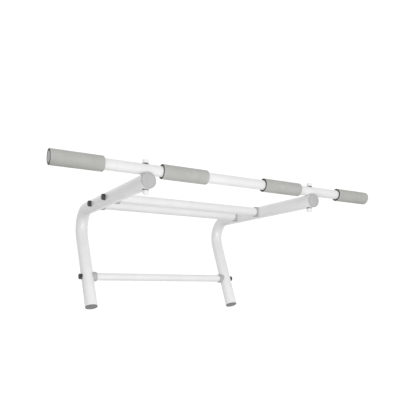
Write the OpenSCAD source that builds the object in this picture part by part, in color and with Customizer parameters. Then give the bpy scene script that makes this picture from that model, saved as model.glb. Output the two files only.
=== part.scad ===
// Pull-up bar that hooks over one rung of a wall-bar ladder and leans on the next rung down.
// Two bent side frames carry a long front bar with foam grips, two cross tubes and a lower
// crossbar. Millimetres, +Z up, +Y towards the wall, +X to the right seen from the room.
// The origin is on the axis of the rung, midway between the two side frames.

/* [Wall bars] */
// Diameter of the rung that the bends hook over
rung_d = 40; // [30:1:44]

/* [Side frames] */
// Distance between the centre lines of the two side frames
frame_spacing = 540; // [500:5:600]
// Outside diameter of the side frame tube
frame_d = 40; // [38:0.5:42]
// Wall thickness of the side frame tube
frame_wall = 2; // [1.5:0.25:2.5]
// Straight length of each arm, from its front cut to the start of the bend
arm_length = 493; // [440:1:540]
// Radius of the bend on the centre line of the tube
bend_radius = 65; // [60:1:80]
// Forward lean of the leg from the vertical, in degrees
leg_lean = 23.6; // [20:0.1:27]
// Straight length of each leg, from the end of the bend to its lower cut
leg_length = 253; // [230:1:280]

/* [Front bar] */
// Outside diameter of the front bar
bar_d = 28; // [25:0.5:30]
// Wall thickness of the front bar and of the two cross tubes
bar_wall = 2; // [1.5:0.25:2.5]
// Length of the front bar tube without its end plugs
bar_length = 1010; // [980:2:1100]
// Distance of the bar's axis behind the front cut of the arms
bar_setback = 18; // [17:0.5:24]
// Depth that the bar is sunk into the notch on top of each arm
bar_seat_depth = 3; // [2:0.5:4]

/* [Foam grips] */
// Outside diameter of the foam grips
grip_d = 38; // [34:1:44]
// Length of each of the two grips at the ends of the bar
outer_grip_length = 127; // [110:1:140]
// Length of each of the two grips between the arms
inner_grip_length = 132; // [110:1:140]
// Bare length of bar between the two inner grips
inner_grip_gap = 188; // [160:2:220]
// Chamfer on the edges of the grips
grip_chamfer = 1.5; // [0.5:0.5:3]

/* [Cross tubes] */
// Outside diameter of the two cross tubes between the arms
cross_d = 28; // [25:0.5:30]
// Distance of the front cross tube in front of the rung axis
front_cross_y = 226; // [200:1:260]
// Distance of the rear cross tube in front of the rung axis
rear_cross_y = 96; // [80:1:130]
// Outside diameter of the lower crossbar between the legs
lower_d = 25; // [22:0.5:28]
// Distance of the lower crossbar down the leg from the end of the bend
lower_cross_at = 146; // [120:1:170]

/* [Collars] */
// Outside diameter of the collars on the two cross tubes
collar_d = 34; // [32:0.5:36]
// Outside diameter of the collars on the lower crossbar
lower_collar_d = 32; // [29:0.5:34]
// Distance of the open face of a cross tube's collar from the surface of the side frame
collar_reach = 5; // [4:0.5:14]
// Depth that a cross tube's end sits in its collar
collar_socket = 3; // [2:0.5:3]
// Distance of the open face of a lower collar from the surface of the side frame
lower_collar_reach = 10; // [7:0.5:14]
// Depth that the lower crossbar's end sits in its collar
lower_collar_socket = 5; // [3:0.5:6]

/* [Caps and plugs] */
// Outside diameter of the caps on the cut ends of the side frames
cap_d = 40; // [39:0.5:42]
// Thickness of the visible flange of a cap
cap_flange = 2.5; // [2:0.5:5]
// Depth of an arm cap's spigot, kept short of the bar in its notch
arm_cap_spigot = 9; // [4:0.5:9]
// Depth of a foot cap's spigot
foot_cap_spigot = 20; // [10:1:25]
// Thickness of the visible flange of a bar end plug
bar_plug_flange = 2; // [1.5:0.5:3]
// Depth of a bar end plug's spigot
bar_plug_spigot = 18; // [10:1:30]

/* [Fasteners] */
// Thread diameter of every bolt
bolt_d = 8; // [6:1:8]
// Size across the flats of a side bolt's hexagon head
hex_flats = 13; // [11:1:13]
// Height of a side bolt's hexagon head
hex_height = 5.3; // [5:0.1:5.5]
// Length of a side bolt under its head
side_bolt_length = 65; // [55:1:70]
// Length of the threaded insert in each tube end
insert_length = 30; // [28:1:40]
// Diameter of the black saddle washers and covers on the side bolts
cover_d = 19; // [18:0.5:20]
// Height of a side bolt's cover
cover_height = 7.5; // [7:0.5:9]
// Thickness of a saddle washer over the crown of its tube
washer_crown = 1.5; // [1:0.25:2]
// Length of the vertical bolts under the head
bar_bolt_length = 75; // [74:0.5:76]
// Diameter of the vertical bolts' round heads
bar_bolt_head_d = 15; // [14:0.5:16]
// Height of the vertical bolts' round heads
bar_bolt_head_height = 8.5; // [7:0.5:9]
// Diameter of the cap nuts and washers on the vertical bolts
cap_nut_d = 16; // [15.5:0.5:17]
// Height of the cap nuts
cap_nut_height = 10; // [9.5:0.5:12]

/* [Hidden] */
$fn = 72;
SIDES = ["left", "right"];
SEATS = ["front", "rear", "lower"];

// Gaps: a snug sliding fit, a bolt's clearance hole, a thread, and the cut past a surface
snug = 0.1;
hole_gap = 0.3;
thread_gap = 0.05;
past = 1;

// How far a straight tube runs into its bend, and how much smaller the bend's radius is
bend_lap = 0.5;
bend_step = 0.02;

WHITE = [0.93, 0.93, 0.93];
FOAM_GREY = [0.70, 0.70, 0.69];
CAP_GREY = [0.76, 0.76, 0.76];
FOOT_GREY = [0.45, 0.45, 0.45];
BLACK = [0.12, 0.12, 0.12];
ZINC = [0.75, 0.76, 0.78];

frame_r = frame_d / 2;
frame_bore_r = frame_r - frame_wall;
bar_r = bar_d / 2;
cross_r = cross_d / 2;
lower_r = lower_d / 2;
grip_r = grip_d / 2;
cap_r = cap_d / 2;
bolt_r = bolt_d / 2;
bolt_hole_r = bolt_r + hole_gap;
thread_r = bolt_r + thread_gap;
cover_r = cover_d / 2;
cap_nut_r = cap_nut_d / 2;
frame_x = frame_spacing / 2;

// The arms rest on top of the rung, and the bend starts right above its axis
arm_z = rung_d / 2 + frame_r;
bend_angle = 90 + leg_lean;
arm_front_y = -arm_length;
bar_y = arm_front_y + bar_setback;
bar_z = arm_z + frame_r - bar_seat_depth + bar_r;
bar_end_x = bar_length / 2 + bar_plug_flange;
bar_above_arm = bar_z - arm_z;

// Radii of the insides of the tubes
bar_bore_r = bar_r - bar_wall;
cross_bore_r = cross_r - bar_wall;
lower_bore_r = lower_r - bar_wall;

// Edge chamfers of small moulded parts and of bolt heads
edge = 1;
hex_corner_r = hex_flats / 2 / cos(30);

// How far a collar stands off the side frame, how deep its socket is, and where its tube ends
function reach(seat) = seat == "lower" ? lower_collar_reach : collar_reach;
function socket(seat) = seat == "lower" ? lower_collar_socket : collar_socket;
function tube_end_x(seat) = frame_x - frame_r - reach(seat) + socket(seat);

// ---- Placing ----

// Draws its children on the right side, or mirrors them to the left side
module on_side(side) {
    if (side == "left") mirror([1, 0, 0]) children();
    else children();
}

// Axes at the start of the leg: +Y runs down the leg, the origin is the end of the bend
module along_leg() {
    translate([0, 0, arm_z - bend_radius])
        rotate([-bend_angle, 0, 0])
            translate([0, 0, bend_radius])
                children();
}

// Axes of one side bolt: the origin is on the tube's centre line, +X points outwards,
// and +Y runs along the tube of the side frame
module at_seat(seat, side) {
    on_side(side)
        translate([frame_x, 0, 0])
            if (seat == "lower") along_leg() translate([0, lower_cross_at, 0]) children();
            else if (seat == "front") translate([0, -front_cross_y, arm_z]) children();
            else translate([0, -rear_cross_y, arm_z]) children();
}

// Axes of one vertical bolt: the origin is on the bar's axis, +Z points up
module at_bar_bolt(side) {
    on_side(side)
        translate([frame_x, bar_y, bar_z])
            children();
}

// ---- Plain shapes ----

// Cylinder along +X from x0 to x1
module rod_x(r, x0, x1) {
    translate([x0, 0, 0])
        rotate([0, 90, 0])
            cylinder(r = r, h = x1 - x0);
}

// Cylinder along +Y from y0 to y1
module rod_y(r, y0, y1) {
    translate([0, y0, 0])
        rotate([-90, 0, 0])
            cylinder(r = r, h = y1 - y0);
}

// Cylinder along +Z from z0 to z1
module rod_z(r, z0, z1) {
    translate([0, 0, z0])
        cylinder(r = r, h = z1 - z0);
}

// Solid of revolution about +X, from x0 to x1, with a chamfer on each end's outer edge
module turned_x(r, x0, x1, chamfer0, chamfer1) {
    rotate([0, 90, 0])
        rotate_extrude()
            polygon([[0, x0], [r - chamfer0, x0], [r, x0 + chamfer0],
                     [r, x1 - chamfer1], [r - chamfer1, x1], [0, x1]]);
}

// Straight tube along +X, centred on the origin
module tube_x(r, bore_r, length) {
    difference() {
        rod_x(r, -length / 2, length / 2);
        rod_x(bore_r, -length / 2 - past, length / 2 + past);
    }
}

// Arm, bend and leg as one bent rod; extra lengthens both ends. The straights run a
// little way into the bend, whose section is a hair smaller, as in a drawn tube bend.
module bent_rod(r, extra) {
    translate([0, 0, arm_z])
        rod_y(r, arm_front_y - extra, bend_lap);
    translate([0, 0, arm_z - bend_radius])
        rotate([0, -90, 0])
            rotate_extrude(angle = bend_angle)
                translate([bend_radius, 0])
                    circle(r = r - bend_step);
    along_leg()
        rod_y(r, -bend_lap, leg_length + extra);
}

// ---- Frame ----

module side_frame(side) {
    color(WHITE)
        difference() {
            on_side(side)
                translate([frame_x, 0, 0])
                    difference() {
                        bent_rod(frame_r, 0);
                        bent_rod(frame_bore_r, past);
                    }
            for (seat = SEATS)
                at_seat(seat, side)
                    rod_x(bolt_hole_r, -frame_r - past, frame_r + past);
            at_bar_bolt(side) {
                rod_x(bar_r + snug, -frame_r - past, frame_r + past);
                rod_z(bolt_hole_r, -bar_r - frame_d - past, 0);
            }
        }
}

module front_bar() {
    color(WHITE)
        difference() {
            translate([0, bar_y, bar_z])
                tube_x(bar_r, bar_bore_r, bar_length);
            for (side = SIDES)
                at_bar_bolt(side)
                    rod_z(bolt_hole_r, -bar_r - past, bar_r + past);
        }
}

module cross_tube(seat, y) {
    color(WHITE)
        translate([0, -y, arm_z])
            tube_x(cross_r, cross_bore_r, 2 * tube_end_x(seat));
}

module lower_crossbar() {
    color(WHITE)
        along_leg()
            translate([0, lower_cross_at, 0])
                tube_x(lower_r, lower_bore_r, 2 * tube_end_x("lower"));
}

// ---- Foam grips, caps and plugs ----

// Foam sleeve on the front bar from x0 to x1
module grip(side, x0, x1) {
    color(FOAM_GREY)
        on_side(side)
            translate([0, bar_y, bar_z])
                difference() {
                    turned_x(grip_r, x0, x1, grip_chamfer, grip_chamfer);
                    rod_x(bar_r + snug, x0 - past, x1 + past);
                }
}

module outer_grip(side) {
    grip(side, bar_end_x - outer_grip_length, bar_end_x);
}

module inner_grip(side) {
    grip(side, inner_grip_gap / 2, inner_grip_gap / 2 + inner_grip_length);
}

// Hollow push-in cap along +X: a flange from x = 0 outwards and a spigot inwards
module push_in_cap(r, flange, spigot_r, spigot) {
    spigot_wall = 2.5;
    difference() {
        union() {
            turned_x(r, 0, flange, 0, edge);
            rod_x(spigot_r, -spigot, flange / 2);
        }
        rod_x(spigot_r - spigot_wall, -spigot - past, 0);
    }
}

module arm_cap(side) {
    color(CAP_GREY)
        on_side(side)
            translate([frame_x, arm_front_y, arm_z])
                rotate([0, 0, -90])
                    push_in_cap(cap_r, cap_flange, frame_bore_r - snug, arm_cap_spigot);
}

module foot_cap(side) {
    color(FOOT_GREY)
        on_side(side)
            translate([frame_x, 0, 0])
                along_leg()
                    translate([0, leg_length, 0])
                        rotate([0, 0, 90])
                            push_in_cap(cap_r, cap_flange, frame_bore_r - snug, foot_cap_spigot);
}

module bar_plug(side) {
    color(CAP_GREY)
        on_side(side)
            translate([bar_length / 2, bar_y, bar_z])
                push_in_cap(bar_r, bar_plug_flange, bar_bore_r - snug, bar_plug_spigot);
}

// ---- Side bolts, each with a collar, an insert, a saddle washer and a cover ----

// Socket that seats a tube end against the round side frame
module collar(seat, side) {
    outer_r = (seat == "lower" ? lower_collar_d : collar_d) / 2;
    tube_r = seat == "lower" ? lower_r : cross_r;
    face_x = -frame_r - reach(seat);
    color(CAP_GREY)
        at_seat(seat, side)
            difference() {
                turned_x(outer_r, face_x, 0, edge, 0);
                rod_x(tube_r + snug, face_x - past, face_x + socket(seat));
                rod_x(bolt_hole_r, face_x, past);
                rod_y(frame_r + snug, -frame_d, frame_d);
            }
}

// Threaded steel insert pressed into a tube end, flush with the cut
module tube_insert(seat, side) {
    bore_r = seat == "lower" ? lower_bore_r : cross_bore_r;
    flush_x = -frame_r - reach(seat) + socket(seat);
    color(ZINC)
        at_seat(seat, side)
            difference() {
                rod_x(bore_r - snug, flush_x - insert_length, flush_x);
                rod_x(thread_r, flush_x - insert_length - past, flush_x + past);
            }
}

module saddle_washer(seat, side) {
    color(BLACK)
        at_seat(seat, side)
            difference() {
                rod_x(cover_r, frame_r / 2, frame_r + washer_crown);
                rod_x(bolt_hole_r, 0, frame_r + washer_crown + past);
                rod_y(frame_r + snug, -frame_d, frame_d);
            }
}

module side_bolt(seat, side) {
    head_x = frame_r + washer_crown;
    color(ZINC)
        at_seat(seat, side) {
            rod_x(bolt_r, head_x - side_bolt_length, head_x);
            translate([head_x, 0, 0])
                rotate([0, 90, 0])
                    cylinder(r = hex_corner_r, h = hex_height, $fn = 6);
        }
}

// Snap-on cover over the hexagon head
module bolt_cover(seat, side) {
    base_x = frame_r + washer_crown;
    color(BLACK)
        at_seat(seat, side)
            difference() {
                turned_x(cover_r, base_x, base_x + cover_height, 0, edge);
                rod_x(hex_corner_r + snug, base_x - past, base_x + hex_height + snug);
            }
}

// ---- Vertical bolts through the bar and the arm ----

module bar_washer(side) {
    color(BLACK)
        at_bar_bolt(side)
            difference() {
                rod_z(cap_nut_r, bar_r / 2, bar_r + washer_crown);
                rod_z(bolt_hole_r, 0, bar_r + washer_crown + past);
                rod_x(bar_r + snug, -bar_d, bar_d);
            }
}

module bar_bolt(side) {
    head_z = bar_r + washer_crown;
    socket_flats = 6;
    socket_depth = 4;
    color(WHITE)
        at_bar_bolt(side)
            difference() {
                union() {
                    rod_z(bolt_r, head_z - bar_bolt_length, head_z + edge);
                    translate([0, 0, head_z])
                        rotate([0, -90, 0])
                            turned_x(bar_bolt_head_d / 2, 0, bar_bolt_head_height, 0, edge);
                }
                translate([0, 0, head_z + bar_bolt_head_height - socket_depth])
                    cylinder(r = socket_flats / 2 / cos(30), h = socket_depth + past, $fn = 6);
            }
}

module arm_washer(side) {
    color(BLACK)
        at_bar_bolt(side)
            translate([0, 0, -bar_above_arm])
                difference() {
                    rod_z(cap_nut_r, -frame_r - washer_crown, -frame_r / 2);
                    rod_z(bolt_hole_r, -frame_r - washer_crown - past, 0);
                    rod_y(frame_r + snug, -frame_d, frame_d);
                }
}

module cap_nut(side) {
    top_z = -bar_above_arm - frame_r - washer_crown;
    dome_wall = 1.5;
    color(WHITE)
        at_bar_bolt(side)
            difference() {
                translate([0, 0, top_z])
                    rotate([0, 90, 0])
                        turned_x(cap_nut_r, 0, cap_nut_height, 0, edge);
                rod_z(thread_r, top_z - cap_nut_height + dome_wall, top_z + past);
            }
}

// ---- Nodes ----

front_bar();
cross_tube("front", front_cross_y);  // front_cross_tube
cross_tube("rear", rear_cross_y);  // rear_cross_tube
lower_crossbar();
for (side = SIDES) {
    side_frame(side);
    arm_cap(side);
    foot_cap(side);
    bar_plug(side);
    outer_grip(side);
    inner_grip(side);
    bar_washer(side);
    bar_bolt(side);
    arm_washer(side);
    cap_nut(side);
}
for (seat = SEATS) for (side = SIDES) {
    collar(seat, side);
    tube_insert(seat, side);
    saddle_washer(seat, side);
    side_bolt(seat, side);
    bolt_cover(seat, side);
}
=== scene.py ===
import math

import bmesh
import bpy
from mathutils import Matrix, Vector, noise


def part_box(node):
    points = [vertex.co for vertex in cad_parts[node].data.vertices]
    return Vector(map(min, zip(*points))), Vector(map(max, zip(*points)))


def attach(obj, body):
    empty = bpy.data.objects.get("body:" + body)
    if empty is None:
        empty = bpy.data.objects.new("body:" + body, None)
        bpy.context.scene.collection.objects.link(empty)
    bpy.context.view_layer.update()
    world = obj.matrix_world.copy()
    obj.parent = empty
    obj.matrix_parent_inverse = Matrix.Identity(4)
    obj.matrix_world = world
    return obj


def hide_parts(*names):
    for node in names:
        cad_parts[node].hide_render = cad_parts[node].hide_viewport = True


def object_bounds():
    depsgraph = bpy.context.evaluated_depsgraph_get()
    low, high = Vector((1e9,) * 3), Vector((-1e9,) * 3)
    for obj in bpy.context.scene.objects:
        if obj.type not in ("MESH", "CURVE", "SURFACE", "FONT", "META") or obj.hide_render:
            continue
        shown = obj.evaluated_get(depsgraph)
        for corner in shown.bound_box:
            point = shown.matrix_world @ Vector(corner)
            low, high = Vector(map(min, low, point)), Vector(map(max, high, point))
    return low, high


# The looks of a pull-up bar for wall bars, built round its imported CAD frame. Metres, +Z up,
# +Y towards the wall, +X to the right seen from the room.
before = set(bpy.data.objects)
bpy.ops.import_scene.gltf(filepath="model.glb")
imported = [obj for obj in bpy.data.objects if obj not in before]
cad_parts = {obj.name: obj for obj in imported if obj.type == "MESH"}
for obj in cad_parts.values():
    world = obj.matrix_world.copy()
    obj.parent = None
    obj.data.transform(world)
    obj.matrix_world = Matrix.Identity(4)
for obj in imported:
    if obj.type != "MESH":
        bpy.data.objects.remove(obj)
cad_low, cad_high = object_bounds()

SIDES = ("left", "right")
SEATS = ("front", "rear", "lower")
OUTWARD = {"left": -1, "right": 1}
X_AXIS = Vector((1, 0, 0))
Y_AXIS = Vector((0, 1, 0))
Z_AXIS = Vector((0, 0, 1))
MM = 0.001
TOLERANCE = 0.01 * MM

# ---- Camera: level, from the front left and below the bar ----

CAMERA_PLACE = Vector((-0.780, -1.641, -0.232))
CAMERA_YAW = math.radians(-30.94)
CAMERA_LENS = 45.5
CAMERA_SHIFT = (-0.0260, 0.2270)

# ---- Light and stage ----

WHITE = (1, 1, 1, 1)
# The backdrop as the camera sees it, the soft light that it gives, and that light's share from
# the left and from straight below.
BACKDROP_WHITE = 1.05
AMBIENT = 0.78
AMBIENT_LEFT = 0.86
AMBIENT_BELOW = 0.2
# A large soft light in the room, below the camera, and a small one between the arms.
KEY_PLACE = Vector((-0.5, -2.7, -1.0))
KEY_SIZE = 1.6
KEY_WATTS = 27.5
FILL_PLACE = Vector((-0.2, -0.7, -0.55))
FILL_SIZE = 0.6
FILL_WATTS = 1.6
# The floor lies this far below the object.
FLOOR_DROP = 0.95
FLOOR_SIZE = 60.0
FLOOR_GLOW = 0.35

# ---- Mesh detail: points round a circle, steps in a rounded edge ----

AROUND = 96
ARC_STEPS = 5
SMOOTH_ANGLE = math.radians(32)


def mesh_piece(name, rings, loop, material, node):
    """A piece skinned over rings of points; loop joins the last ring to the first one. Beside a
    ring of one point the faces are triangles."""
    mesh = bmesh.new()
    rows = [[mesh.verts.new(point) for point in points] for points in rings]
    for row, following in zip(rows, rows[1:] + rows[:1] if loop else rows[1:]):
        for i in range(max(len(row), len(following))):
            j = i + 1
            corners = (row[i % len(row)], row[j % len(row)],
                       following[j % len(following)], following[i % len(following)])
            mesh.faces.new(list(dict.fromkeys(corners)))
    bmesh.ops.recalc_face_normals(mesh, faces=mesh.faces)
    for face in mesh.faces:
        face.smooth = True
    data = bpy.data.meshes.new(name)
    mesh.to_mesh(data)
    mesh.free()
    data.set_sharp_from_angle(angle=SMOOTH_ANGLE)
    data.materials.append(material)
    piece = bpy.data.objects.new(name, data)
    bpy.context.scene.collection.objects.link(piece)
    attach(piece, "root")
    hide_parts(node)
    return piece


def rounded(corners, closed):
    """Outline through (height, radius, fillet) corners, with an arc at each fillet. In a closed
    outline the last corner joins the first, so those two are rounded as well."""
    outline = []
    for i, (height, radius, fillet) in enumerate(corners):
        here = Vector((height, radius))
        if fillet == 0 or (not closed and i in (0, len(corners) - 1)):
            outline.append(here)
            continue
        before = (Vector(corners[i - 1][:2]) - here).normalized()
        after = (Vector(corners[(i + 1) % len(corners)][:2]) - here).normalized()
        half = before.angle(after) / 2
        centre = here + (before + after).normalized() * fillet / math.sin(half)
        start = here + before * fillet / math.tan(half) - centre
        end = here + after * fillet / math.tan(half) - centre
        turn = math.atan2(start.x * end.y - start.y * end.x, start.dot(end))
        for step in range(ARC_STEPS + 1):
            outline.append(centre + Matrix.Rotation(turn * step / ARC_STEPS, 2) @ start)
    return outline


def ring(centre, up, along, height, radius):
    """Circle of points round the up axis, or one point where the radius is 0. A callable radius
    is asked at each angle, and a callable height at each distance across."""
    across = up.cross(along)
    if radius == 0:
        return [centre + up * height]
    points = []
    for i in range(AROUND):
        angle = 2 * math.pi * i / AROUND
        r = radius(angle) if callable(radius) else radius
        h = height(r * math.sin(angle)) if callable(height) else height
        points.append(centre + up * h + (along * math.cos(angle) + across * math.sin(angle)) * r)
    return points


def turned(name, centre, up, corners, closed, material, node):
    """Solid of revolution about the up axis through centre. Its outline is closed where the
    solid is a sleeve; otherwise it starts and ends on the axis."""
    along = Z_AXIS if abs(up.z) < 0.5 else X_AXIS
    along = (along - up * along.dot(up)).normalized()
    rings = [ring(centre, up, along, h, r) for h, r in rounded(corners, closed)]
    return mesh_piece(name, rings, closed, material, node)


def box_centre(node):
    """Middle of a CAD node's box."""
    low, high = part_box(node)
    return (low + high) / 2


def box_size(node):
    """Size of a CAD node's box."""
    low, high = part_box(node)
    return high - low


def distances_across(node, centre):
    """Distances along X from centre to the near and the far side of a CAD node's box."""
    low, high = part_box(node)
    return sorted((abs(low.x - centre.x), abs(high.x - centre.x)))


# ---- Dimensions read from the frame ----

frame_r = box_size("left_side_frame").x / 2
bar_r = box_size("front_bar").z / 2
bar_centre = box_centre("front_bar")
leg_point = box_centre("lower_crossbar")


def leg_direction():
    """Unit vector down the leg, from the crossbar to the widest ring of the foot cap."""
    node = "right_foot_cap"
    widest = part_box(node)[1].x - TOLERANCE
    ring_points = [v.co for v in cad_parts[node].data.vertices if v.co.x > widest]
    direction = sum(ring_points, Vector()) / len(ring_points) - leg_point
    direction.x = 0
    return direction.normalized()


leg_down = leg_direction()


# ---- Materials ----

# Noise stays mostly between these values.
NOISE_LOW = 0.3
NOISE_HIGH = 0.7


def new_material(name, roughness, metallic=0.0, coat=0.0):
    """An empty principled material and its shader."""
    material = bpy.data.materials.new(name)
    material.use_nodes = True
    shader = material.node_tree.nodes["Principled BSDF"]
    shader.inputs["Roughness"].default_value = roughness
    shader.inputs["Metallic"].default_value = metallic
    shader.inputs["Coat Weight"].default_value = coat
    return material, shader


def add_node(material, kind, **values):
    """A shader node, with each value set on its input or property of that name."""
    node = material.node_tree.nodes.new(kind)
    for key, value in values.items():
        if key in node.inputs:
            node.inputs[key].default_value = value
        else:
            setattr(node, key, value)
    return node


def link(material, source, target):
    material.node_tree.links.new(source, target)


def noise_field(material, scale, detail=3.0, rough=0.5):
    """Noise in the object's own coordinates, with features about 1 / scale metres wide."""
    place = add_node(material, "ShaderNodeTexCoord")
    field = add_node(material, "ShaderNodeTexNoise", Scale=scale, Detail=detail, Roughness=rough)
    link(material, place.outputs["Object"], field.inputs["Vector"])
    return field.outputs["Fac"]


def colour_between(material, fac, dark, light, low=0.35, high=0.65):
    """Colour that runs from dark to light as fac goes from low to high."""
    ramp = add_node(material, "ShaderNodeValToRGB")
    ramp.color_ramp.elements[0].position = low
    ramp.color_ramp.elements[0].color = (*dark, 1)
    ramp.color_ramp.elements[1].position = high
    ramp.color_ramp.elements[1].color = (*light, 1)
    link(material, fac, ramp.inputs["Fac"])
    return ramp.outputs["Color"]


def add_bumps(material, shader, layers):
    """Bump layers of (field, depth in metres, strength), one on top of the other."""
    normal = None
    for field, depth, strength in layers:
        bump = add_node(material, "ShaderNodeBump", Strength=strength, Distance=depth)
        link(material, field, bump.inputs["Height"])
        if normal is not None:
            link(material, normal, bump.inputs["Normal"])
        normal = bump.outputs["Normal"]
    link(material, normal, shader.inputs["Normal"])


def vary_roughness(material, shader, field, low, high):
    """Roughness that runs from low to high with a noise field."""
    span = add_node(material, "ShaderNodeMapRange")
    span.inputs["From Min"].default_value = NOISE_LOW
    span.inputs["From Max"].default_value = NOISE_HIGH
    span.inputs["To Min"].default_value = low
    span.inputs["To Max"].default_value = high
    link(material, field, span.inputs["Value"])
    link(material, span.outputs["Result"], shader.inputs["Roughness"])


def grey(value, warmth=0.0):
    """Linear grey; warmth takes some of the blue away."""
    return (value, value * (1 + warmth / 4), value * (1 - warmth))


def powder_coat():
    """Baked white powder coat: soft gloss, orange peel and a very faint cloudiness."""
    material, shader = new_material("white_powder_coat_look", roughness=0.34, coat=0.5)
    shader.inputs["Coat Roughness"].default_value = 0.2
    clouds = noise_field(material, scale=18, detail=4)
    link(material, colour_between(material, clouds, dark=grey(0.83), light=grey(0.86)),
         shader.inputs["Base Color"])
    vary_roughness(material, shader, noise_field(material, scale=60), low=0.30, high=0.40)
    peel = noise_field(material, scale=520, detail=2)
    grit = noise_field(material, scale=2600, detail=2)
    add_bumps(material, shader, [(peel, 0.06 * MM, 0.35), (grit, 0.02 * MM, 0.2)])
    return material


def painted_end_shade(material, place, skin):
    """Skin colour, with painted shade: a dark face where the surface looks along the bar."""
    facing = add_node(material, "ShaderNodeSeparateXYZ")
    link(material, place.outputs["Normal"], facing.inputs["Vector"])
    endwise = add_node(material, "ShaderNodeMath", operation="ABSOLUTE")
    link(material, facing.outputs["X"], endwise.inputs[0])
    end_shade_mask = add_node(material, "ShaderNodeMapRange")
    end_shade_mask.inputs["From Min"].default_value = 0.55
    end_shade_mask.inputs["From Max"].default_value = 0.85
    link(material, endwise.outputs["Value"], end_shade_mask.inputs["Value"])
    # Painted shade: the grip's end faces turn dark.
    end_shade = add_node(material, "ShaderNodeMix", data_type="RGBA")
    end_shade.inputs["B"].default_value = (*grey(0.04, warmth=0.03), 1)
    link(material, end_shade_mask.outputs["Result"], end_shade.inputs["Factor"])
    link(material, skin, end_shade.inputs["A"])
    return end_shade.outputs["Result"]


def foam():
    """Grey closed-cell foam: matt, mottled, with fine pores darkened by painted shade, and painted
    shade on its end faces.
    """
    material, shader = new_material("grip_foam_look", roughness=0.88)
    mottle = noise_field(material, scale=38, detail=5, rough=0.6)
    skin = colour_between(material, mottle, dark=grey(0.47, 0.045), light=grey(0.52, 0.035))
    place = add_node(material, "ShaderNodeTexCoord")
    cells = add_node(material, "ShaderNodeTexVoronoi", Scale=1250.0, Randomness=1.0)
    link(material, place.outputs["Object"], cells.inputs["Vector"])
    # Painted shade: dark dots in the pits that the pore bump below sinks into the skin.
    pore_shade = colour_between(material, cells.outputs["Distance"], dark=grey(0.80), light=grey(1.0),
                           low=0.05, high=0.45)
    pore_shaded_skin = add_node(material, "ShaderNodeMix", data_type="RGBA", blend_type="MULTIPLY")
    pore_shaded_skin.inputs["Factor"].default_value = 0.55
    link(material, skin, pore_shaded_skin.inputs["A"])
    link(material, pore_shade, pore_shaded_skin.inputs["B"])
    link(material, painted_end_shade(material, place, pore_shaded_skin.outputs["Result"]),
         shader.inputs["Base Color"])
    ripple = noise_field(material, scale=260, detail=3)
    add_bumps(material, shader, [(ripple, 0.3 * MM, 0.4),
                                 (cells.outputs["Distance"], 0.25 * MM, 0.7)])
    return material


def moulded(name, tone, roughness, warmth=0.0):
    """Injection-moulded plastic with a fine spark-eroded grain and slight flow marks."""
    material, shader = new_material(name, roughness)
    flow = noise_field(material, scale=90, detail=3)
    dark = grey(tone * 0.955, warmth)
    light = grey(tone * 1.03, warmth)
    link(material, colour_between(material, flow, dark, light), shader.inputs["Base Color"])
    vary_roughness(material, shader, noise_field(material, scale=240),
                   low=roughness - 0.05, high=roughness + 0.06)
    waviness = noise_field(material, scale=150, detail=1)
    grain = noise_field(material, scale=3400, detail=2)
    add_bumps(material, shader, [(waviness, 0.1 * MM, 0.15), (grain, 0.03 * MM, 0.35)])
    return material


def glossy(name, tone, coat_roughness):
    """Dark moulded plastic with a polished skin that mirrors the room softly."""
    material, shader = new_material(name, roughness=0.4, coat=0.35)
    shader.inputs["Coat Roughness"].default_value = coat_roughness
    shader.inputs["Specular IOR Level"].default_value = 0.25
    flow = noise_field(material, scale=120, detail=3)
    link(material, colour_between(material, flow, dark=grey(tone * 0.9), light=grey(tone * 1.15)),
         shader.inputs["Base Color"])
    vary_roughness(material, shader, noise_field(material, scale=300), low=0.34, high=0.46)
    waviness = noise_field(material, scale=160, detail=1)
    add_bumps(material, shader, [(waviness, 0.08 * MM, 0.15)])
    return material


def zinc():
    """Bright zinc plate with faint turning marks and a mottled bloom."""
    material, shader = new_material("zinc_steel_look", roughness=0.32, metallic=1.0)
    bloom = noise_field(material, scale=220, detail=4)
    link(material, colour_between(material, bloom, dark=(0.60, 0.61, 0.62), light=(0.74, 0.75, 0.77)),
         shader.inputs["Base Color"])
    vary_roughness(material, shader, noise_field(material, scale=700), low=0.26, high=0.42)
    marks = noise_field(material, scale=2000)
    add_bumps(material, shader, [(marks, 0.02 * MM, 0.3)])
    return material


LOOKS = {
    "white_powder_coat": powder_coat(),
    "grip_foam": foam(),
    "grey_plastic": moulded("grey_plastic_look", tone=0.50, roughness=0.5),
    "dark_grey_plastic": moulded("dark_grey_plastic_look", tone=0.235, roughness=0.55, warmth=0.02),
    "black_plastic": moulded("black_plastic_look", tone=0.04, roughness=0.28),
    "white_hardware": moulded("white_hardware_look", tone=0.90, roughness=0.28),
    "zinc_steel": zinc(),
}
# The looks of pieces whose tone or gloss differs from the rest of their slot.
collar_look = moulded("collar_look", tone=0.45, roughness=0.45)
washer_look = moulded("washer_look", tone=0.14, roughness=0.3)
cover_look = glossy("cover_look", tone=0.022, coat_roughness=0.12)


def slot_of(node):
    """The record's slot of a CAD node, which is its imported material's name."""
    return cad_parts[node].material_slots[0].material.name.split(".")[0]


slots = {name: slot_of(name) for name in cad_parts}
for name, cad_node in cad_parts.items():
    cad_node.material_slots[0].material = LOOKS[slots[name]]

# ---- Foam grips ----

GRIP_EDGE = 1.3 * MM
GRIP_BORE_EDGE = 0.6 * MM
GRIP_GAP = 0.1 * MM
GRIP_ROWS = 56
# The skin sinks unevenly by about this much, in dips about 1 / DRIFT_SCALE metres wide. The noise
# runs either side of 0, so DRIFT_SINK keeps nearly all of the skin inside the CAD node.
GRIP_DRIFT = 0.16 * MM
DRIFT_SCALE = 42
DRIFT_SINK = 0.5


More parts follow.
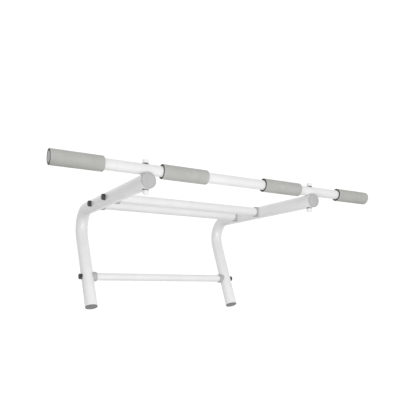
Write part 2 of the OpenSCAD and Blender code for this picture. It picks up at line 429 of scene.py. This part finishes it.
def make_grip(node):
    """Foam sleeve with soft edges and a slightly uneven skin round a plain bore."""
    size = box_size(node)
    centre = box_centre(node)
    outer_r = size.z / 2
    inner_r = bar_r + GRIP_GAP
    half = size.x / 2
    skin = [(half - 2 * half * i / GRIP_ROWS, outer_r, 0) for i in range(2, GRIP_ROWS - 1)]
    corners = [(half, inner_r, GRIP_BORE_EDGE), (half, outer_r, GRIP_EDGE), *skin,
               (-half, outer_r, GRIP_EDGE), (-half, inner_r, GRIP_BORE_EDGE)]
    piece = turned(node + "_foam", centre, X_AXIS, corners, True,
                   LOOKS["grip_foam"], node)
    for vertex in piece.data.vertices:
        spoke = vertex.co - centre
        spoke.x = 0
        if spoke.length > inner_r + GRIP_BORE_EDGE + GRIP_EDGE:
            drift = noise.noise(vertex.co * DRIFT_SCALE) - DRIFT_SINK
            vertex.co += spoke.normalized() * GRIP_DRIFT * drift
    return piece


for side in SIDES:
    for place in ("outer", "inner"):
        make_grip(f"{side}_{place}_grip")

# ---- Caps and plugs: a face with a rounded rim, and a hollow spigot ----

CAP_FLANGE = 2.5 * MM
CAP_RIM = 1.0 * MM
PLUG_FLANGE = 2 * MM
PLUG_RIM = 0.8 * MM
RIM_ROUNDING = 0.7
GROOVE = 0.8 * MM
SPIGOT_WALL = 2.5 * MM
SPIGOT_EDGE = 0.5 * MM
PRESS_GAP = 0.1 * MM
TUBE_WALL = 2.0 * MM
FINE_EDGE = 0.2 * MM


def make_cap(node, face, up, flange_r, flange, depth, rim):
    """Push-in cap whose outer face is centred on face and looks along up. A fine groove
    separates its flat face from its rounded rim."""
    spigot_r = min(flange_r, frame_r) - PRESS_GAP - TUBE_WALL
    bore_r = spigot_r - SPIGOT_WALL
    groove_r = flange_r - rim - GROOVE
    rim_top = -GROOVE / 4
    corners = [
        (0, 0, 0), (0, groove_r, FINE_EDGE), (-GROOVE, groove_r, 0),
        (-GROOVE, groove_r + GROOVE, 0), (rim_top, groove_r + GROOVE, 0),
        (rim_top, flange_r, rim * RIM_ROUNDING), (-flange, flange_r, FINE_EDGE),
        (-flange, spigot_r, 0), (-depth, spigot_r, SPIGOT_EDGE), (-depth, bore_r, SPIGOT_EDGE),
        (-flange, bore_r, 0), (-flange, 0, 0),
    ]
    look = slots[node]
    return turned(node + "_moulding", face, up, corners, False, LOOKS[look], node)


def make_arm_cap(side):
    """Flat cap in the front end of an arm."""
    node = f"{side}_arm_cap"
    size = box_size(node)
    face = box_centre(node)
    face.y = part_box(node)[0].y
    make_cap(node, face, -Y_AXIS, size.x / 2, CAP_FLANGE, size.y, CAP_RIM)


def make_foot_cap(side):
    """Flat cap in the lower end of a leg, square to the leg."""
    node = f"{side}_foot_cap"
    down_leg = [(v.co - leg_point).dot(leg_down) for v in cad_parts[node].data.vertices]
    face = leg_point + leg_down * max(down_leg)
    face.x = box_centre(node).x
    make_cap(node, face, leg_down, box_size(node).x / 2, CAP_FLANGE,
             max(down_leg) - min(down_leg), CAP_RIM)


def make_bar_plug(side):
    """Plug in one end of the front bar."""
    node = f"{side}_bar_plug"
    size = box_size(node)
    low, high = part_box(node)
    face = bar_centre.copy()
    face.x = high.x if side == "right" else low.x
    make_cap(node, face, X_AXIS * OUTWARD[side], size.z / 2, PLUG_FLANGE, size.x, PLUG_RIM)


for side in SIDES:
    make_arm_cap(side)
    make_foot_cap(side)
    make_bar_plug(side)

# ---- Collars, washers and covers on the side frames ----

COLLAR_SOCKET = {"front": 3 * MM, "rear": 3 * MM, "lower": 5 * MM}
LOWER_COLLAR_R = 16 * MM
COLLAR_EDGE = 0.9 * MM
SOCKET_EDGE = 0.5 * MM
SIDE_WASHER_R = 9.5 * MM
WASHER_EDGE = 0.5 * MM
BOLT_HOLE_R = 4.3 * MM
SEAT_GAP = 0.1 * MM
SADDLE_STEPS = 6

COVER_R = 9.5 * MM
COVER_BORE_R = 7.6 * MM
COVER_BORE_DEPTH = 5.4 * MM
# The crown falls slightly to its rounded edge, and the shoulder lies lower still. Both falls are
# measured from the top.
CROWN_FALL = 0.2 * MM
CROWN_INSET = 2.6 * MM
CROWN_ROUNDING = 3 * MM
SHOULDER_FALL = 1.6 * MM
SHOULDER_ROUNDING = 1.4 * MM
# A band round the base stands out by one step.
BAND_HEIGHT = 1.3 * MM
BAND_STEP = 0.3 * MM
BAND_EDGE = 0.25 * MM


def saddle(radius):
    """Height of a round tube's surface over the point that lies across from its crown."""
    return lambda across: math.sqrt((radius + SEAT_GAP) ** 2 - across ** 2)


def tube_axis(seat):
    """Direction of the side frame where the seat is."""
    return leg_down if seat == "lower" else Y_AXIS


def seat_centre(seat, side):
    """Point on the side frame's centre line that the seat's bolt runs through."""
    centre = box_centre(f"{seat}_{side}_collar")
    centre.x = box_centre(f"{side}_arm_cap").x
    return centre


def saddle_rings(centre, up, along, radius, inner_r, outer_r):
    """Rings on a round tube's surface, from the hole to the rim."""
    radii = [inner_r + (outer_r - inner_r) * i / SADDLE_STEPS for i in range(SADDLE_STEPS + 1)]
    return [ring(centre, up, along, saddle(radius), r) for r in radii]


def make_collar(seat, side):
    """Moulded socket that carries a cross tube and fits round the side frame."""
    node = f"{seat}_{side}_collar"
    tube = "lower_crossbar" if seat == "lower" else f"{seat}_cross_tube"
    centre = seat_centre(seat, side)
    up = -X_AXIS * OUTWARD[side]
    along = tube_axis(seat)
    reach = distances_across(node, centre)[1]
    outer_r = LOWER_COLLAR_R if seat == "lower" else box_size(node).z / 2
    bore_r = box_size(tube).z / 2 + SEAT_GAP
    floor = reach - COLLAR_SOCKET[seat]
    outline = rounded([(0, outer_r, 0), (reach, outer_r, COLLAR_EDGE), (reach, bore_r, SOCKET_EDGE),
                       (floor, bore_r, 0), (floor, BOLT_HOLE_R, 0)], False)[1:]
    rings = saddle_rings(centre, up, along, frame_r, BOLT_HOLE_R, outer_r)
    rings += [ring(centre, up, along, h, r) for h, r in outline]
    return mesh_piece(node + "_moulding", rings, True, collar_look, node)


def make_saddle_washer(node, look, centre, up, along, radius, top, outer_r):
    """Washer that is flat outside and hollowed inside to sit on a round tube."""
    outline = rounded([(0, outer_r, 0), (top, outer_r, WASHER_EDGE),
                       (top, BOLT_HOLE_R, WASHER_EDGE), (0, BOLT_HOLE_R, 0)], False)[1:-1]
    rings = saddle_rings(centre, up, along, radius, BOLT_HOLE_R, outer_r)
    rings += [ring(centre, up, along, h, r) for h, r in outline]
    return mesh_piece(node + "_moulding", rings, True, look, node)


def make_side_washer(seat, side):
    """Washer between a side bolt's head and the side frame."""
    node = f"{seat}_{side}_saddle_washer"
    centre = seat_centre(seat, side)
    top = distances_across(node, centre)[1]
    make_saddle_washer(node, LOOKS["black_plastic"], centre, X_AXIS * OUTWARD[side],
                       tube_axis(seat), frame_r, top, SIDE_WASHER_R)


def make_cover(seat, side):
    """Snap-on cover with a rounded crown and a band round its base."""
    node = f"{seat}_{side}_bolt_cover"
    centre = seat_centre(seat, side)
    base, top = distances_across(node, centre)
    wall_r = COVER_R - BAND_STEP
    band = base + BAND_HEIGHT
    floor = base + COVER_BORE_DEPTH
    corners = [(top, 0, 0), (top - CROWN_FALL, COVER_R - CROWN_INSET, CROWN_ROUNDING),
               (top - SHOULDER_FALL, wall_r, SHOULDER_ROUNDING),
               (band + BAND_STEP, wall_r, FINE_EDGE), (band, COVER_R, BAND_EDGE),
               (base, COVER_R, FINE_EDGE), (base, COVER_BORE_R, 0),
               (floor, COVER_BORE_R, 0), (floor, 0, 0)]
    return turned(node + "_moulding", centre, X_AXIS * OUTWARD[side], corners, False, cover_look,
                  node)


for seat in SEATS:
    for side in SIDES:
        make_collar(seat, side)
        make_cover(seat, side)
        make_side_washer(seat, side)

# ---- Vertical bolts, with their washers and cap nuts ----

SHANK_R = 4 * MM
SHANK_EDGE = 0.8 * MM
HEAD_HEIGHT = 8.5 * MM
HEAD_BASE_EDGE = 0.4 * MM
HEAD_TOP_EDGE = 0.7 * MM
SOCKET_FLATS = 6 * MM
SOCKET_DEPTH = 4 * MM
SOCKET_MOUTH_R = 4 * MM
SOCKET_LEAD_IN = 0.4 * MM
BAR_WASHER_R = 8 * MM

NUT_ROUNDING = 3.2 * MM
NUT_BORE_R = 4.05 * MM
NUT_BORE_EDGE = 0.4 * MM
NUT_DOME_WALL = 1.5 * MM
# The nut's top narrows to a neck, over a short slope.
NECK_HEIGHT = 1.0 * MM
NECK_SLOPE = 0.2 * MM
NECK_INSET = 0.3 * MM
NECK_FOOT_EDGE = 0.1 * MM
NECK_TOP_EDGE = 0.3 * MM


def hexagon(flats):
    """Radius of a hexagon's outline at each angle."""
    sixth = math.pi / 3
    return lambda angle: flats / 2 / math.cos(angle % sixth - sixth / 2)


def make_bar_bolt(side):
    """Cap-head bolt: a turned head with a hexagon socket over a plain shank."""
    node = f"{side}_bar_bolt"
    low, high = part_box(node)
    centre = box_centre(node)
    head_r = box_size(node).x / 2
    top = high.z - centre.z
    head_base = top - HEAD_HEIGHT
    shank_end = low.z - centre.z
    outline = rounded([(shank_end, 0, 0), (shank_end, SHANK_R, SHANK_EDGE), (head_base, SHANK_R, 0),
                       (head_base, head_r, HEAD_BASE_EDGE), (top, head_r, HEAD_TOP_EDGE),
                       (top, SOCKET_MOUTH_R, 0)], False)
    # The socket: its lead-in, its walls and its floor.
    socket = hexagon(SOCKET_FLATS)
    outline += [(top - SOCKET_LEAD_IN, socket), (top - SOCKET_DEPTH, socket), (top - SOCKET_DEPTH, 0)]
    rings = [ring(centre, Z_AXIS, X_AXIS, h, r) for h, r in outline]
    return mesh_piece(node + "_turned", rings, False, LOOKS["white_hardware"], node)


def make_cap_nut(side):
    """Domed cap nut under the arm."""
    node = f"{side}_cap_nut"
    low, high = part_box(node)
    centre = box_centre(node)
    radius = box_size(node).x / 2
    top = high.z - centre.z
    bottom = low.z - centre.z
    neck = top - NECK_HEIGHT
    neck_r = radius - NECK_INSET
    floor = bottom + NUT_DOME_WALL
    corners = [(bottom, 0, 0), (bottom, radius, NUT_ROUNDING), (neck - NECK_SLOPE, radius, FINE_EDGE),
               (neck, neck_r, NECK_FOOT_EDGE), (top, neck_r, NECK_TOP_EDGE),
               (top, NUT_BORE_R, NUT_BORE_EDGE), (floor, NUT_BORE_R, 0), (floor, 0, 0)]
    return turned(node + "_dome", centre, Z_AXIS, corners, False, LOOKS["white_hardware"], node)


def make_bar_washers(side):
    """Washer over the bar, under the bolt's head, and washer under the arm, over the cap nut."""
    on_bar = f"{side}_bar_washer"
    centre = Vector((box_centre(on_bar).x, bar_centre.y, bar_centre.z))
    make_saddle_washer(on_bar, washer_look, centre, Z_AXIS, X_AXIS, bar_r,
                       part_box(on_bar)[1].z - centre.z, BAR_WASHER_R)
    under_arm = f"{side}_arm_washer"
    centre.z = box_centre(f"{side}_arm_cap").z
    make_saddle_washer(under_arm, washer_look, centre, -Z_AXIS, Y_AXIS, frame_r,
                       centre.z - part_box(under_arm)[0].z, BAR_WASHER_R)


for side in SIDES:
    make_bar_bolt(side)
    make_cap_nut(side)
    make_bar_washers(side)

# ---- Stage, light and camera ----


def make_floor():
    """Pale paper floor. It glows a little, so that it runs into the backdrop without a line."""
    mesh = bmesh.new()
    bmesh.ops.create_grid(mesh, x_segments=8, y_segments=8, size=FLOOR_SIZE / 2)
    data = bpy.data.meshes.new("floor")
    mesh.to_mesh(data)
    mesh.free()
    floor = bpy.data.objects.new("floor", data)
    floor.location.z = cad_low.z - FLOOR_DROP
    floor.visible_diffuse = False
    floor.visible_shadow = False
    bpy.context.scene.collection.objects.link(floor)
    material, shader = new_material("floor_paper", roughness=0.9)
    paper = noise_field(material, scale=3, detail=2)
    link(material, colour_between(material, paper, dark=grey(0.90), light=grey(0.91)),
         shader.inputs["Base Color"])
    shader.inputs["Emission Color"].default_value = WHITE
    shader.inputs["Emission Strength"].default_value = FLOOR_GLOW
    data.materials.append(material)


def direction_span(tree, axis, low, high, start, end):
    """World factor that runs from start to end as the ray's axis part goes from low to high."""
    place = tree.nodes.new("ShaderNodeTexCoord")
    parts = tree.nodes.new("ShaderNodeSeparateXYZ")
    span = tree.nodes.new("ShaderNodeMapRange")
    span.inputs["From Min"].default_value = low
    span.inputs["From Max"].default_value = high
    span.inputs["To Min"].default_value = start
    span.inputs["To Max"].default_value = end
    tree.links.new(place.outputs["Generated"], parts.inputs["Vector"])
    tree.links.new(parts.outputs[axis], span.inputs["Value"])
    return span.outputs["Result"]


def world_math(tree, operation, first, second):
    """Result of a maths node over two numbers or outputs."""
    node = tree.nodes.new("ShaderNodeMath")
    node.operation = operation
    for socket, value in zip(node.inputs, (first, second)):
        if isinstance(value, float):
            socket.default_value = value
        else:
            tree.links.new(value, socket)
    return node.outputs["Value"]


def make_sky():
    """White backdrop. Its soft light is dimmer from the left and from below."""
    world = bpy.data.worlds.new("studio")
    bpy.context.scene.world = world
    world.use_nodes = True
    tree = world.node_tree
    from_left = direction_span(tree, "X", -1.0, 0.0, AMBIENT_LEFT, 1.0)
    from_below = direction_span(tree, "Z", -1.0, 0.2, AMBIENT_BELOW, 1.0)
    share = world_math(tree, "MULTIPLY", from_left, from_below)
    soft = world_math(tree, "MULTIPLY", share, AMBIENT)
    path = tree.nodes.new("ShaderNodeLightPath")
    seen = world_math(tree, "MAXIMUM", path.outputs["Is Camera Ray"], path.outputs["Is Glossy Ray"])
    white = world_math(tree, "MULTIPLY", seen, BACKDROP_WHITE)
    shade = world_math(tree, "MULTIPLY", soft, world_math(tree, "SUBTRACT", 1.0, seen))
    background = tree.nodes["Background"]
    background.inputs["Color"].default_value = WHITE
    tree.links.new(world_math(tree, "ADD", white, shade), background.inputs["Strength"])


def make_light(name, place, target, size, power):
    """Square area light that faces target."""
    data = bpy.data.lights.new(name, "AREA")
    data.size = size
    data.energy = power
    light = bpy.data.objects.new(name, data)
    light.location = place
    light.rotation_mode = "QUATERNION"
    light.rotation_quaternion = (target - place).to_track_quat("-Z", "Y")
    light.visible_camera = False
    bpy.context.scene.collection.objects.link(light)


def make_camera():
    """Level camera, whose shift frames the object without turning the view."""
    data = bpy.data.cameras.new("camera")
    data.lens = CAMERA_LENS
    data.shift_x, data.shift_y = CAMERA_SHIFT
    camera = bpy.data.objects.new("camera", data)
    camera.location = CAMERA_PLACE
    camera.rotation_euler = (math.pi / 2, 0, CAMERA_YAW)
    bpy.context.scene.collection.objects.link(camera)
    bpy.context.scene.camera = camera


middle = (cad_low + cad_high) / 2
make_camera()
make_floor()
make_sky()
make_light("key", KEY_PLACE, middle, KEY_SIZE, KEY_WATTS)
make_light("fill", FILL_PLACE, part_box("right_side_frame")[0], FILL_SIZE, FILL_WATTS)
bpy.context.scene.view_settings.view_transform = "Standard"
